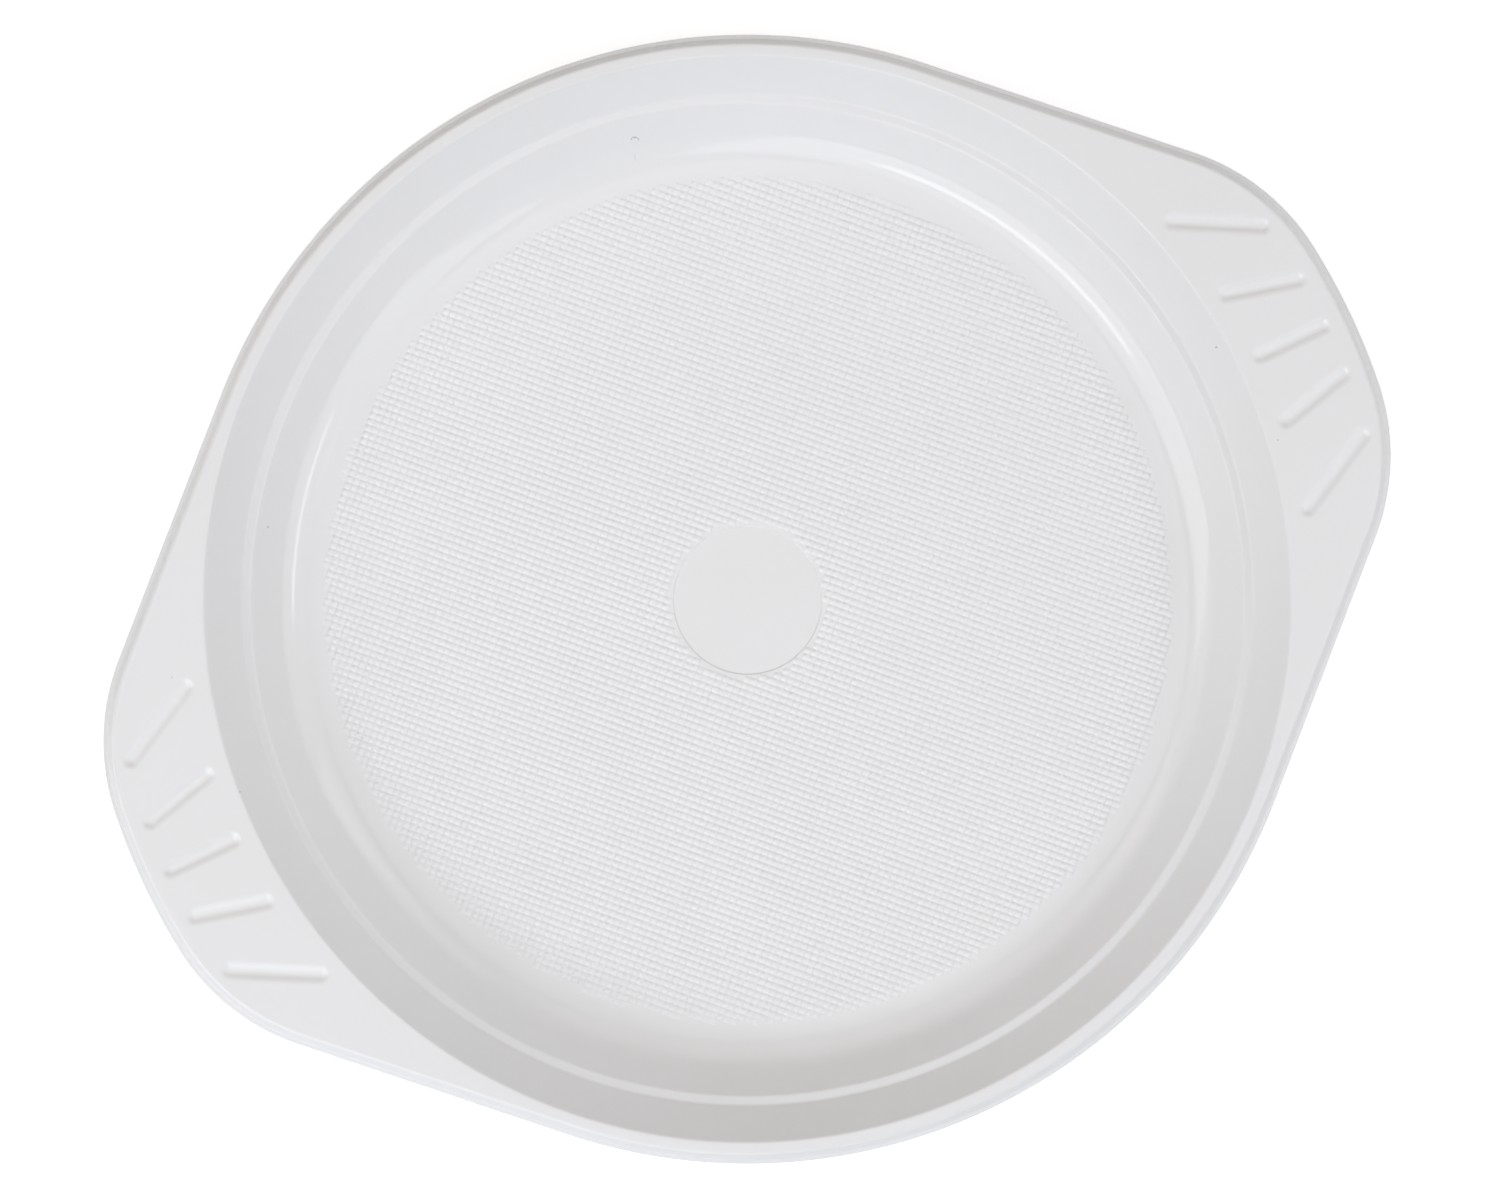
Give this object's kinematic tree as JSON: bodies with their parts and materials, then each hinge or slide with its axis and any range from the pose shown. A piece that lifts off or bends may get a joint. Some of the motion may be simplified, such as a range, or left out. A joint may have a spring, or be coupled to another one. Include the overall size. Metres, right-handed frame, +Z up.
{
  "type": "plastic plate with handles",
  "caption": "Round white moulded plastic plate with a flat textured floor, stepped sloping wall, turned-down lip and a grooved grip handle on each side.",
  "frame": {"origin": "middle of the flat underside, where the plate rests on the table", "axes": "+Z up, out of the plate's mouth; X along the line through the two handles"},
  "size_m": [0.26, 0.22, 0.02],
  "materials": {
    "polypropylene": "glossy white moulded polypropylene, finely textured on the floor"
  },
  "bodies": {
    "root": {"plate": "polypropylene"}
  },
  "joints": []
}
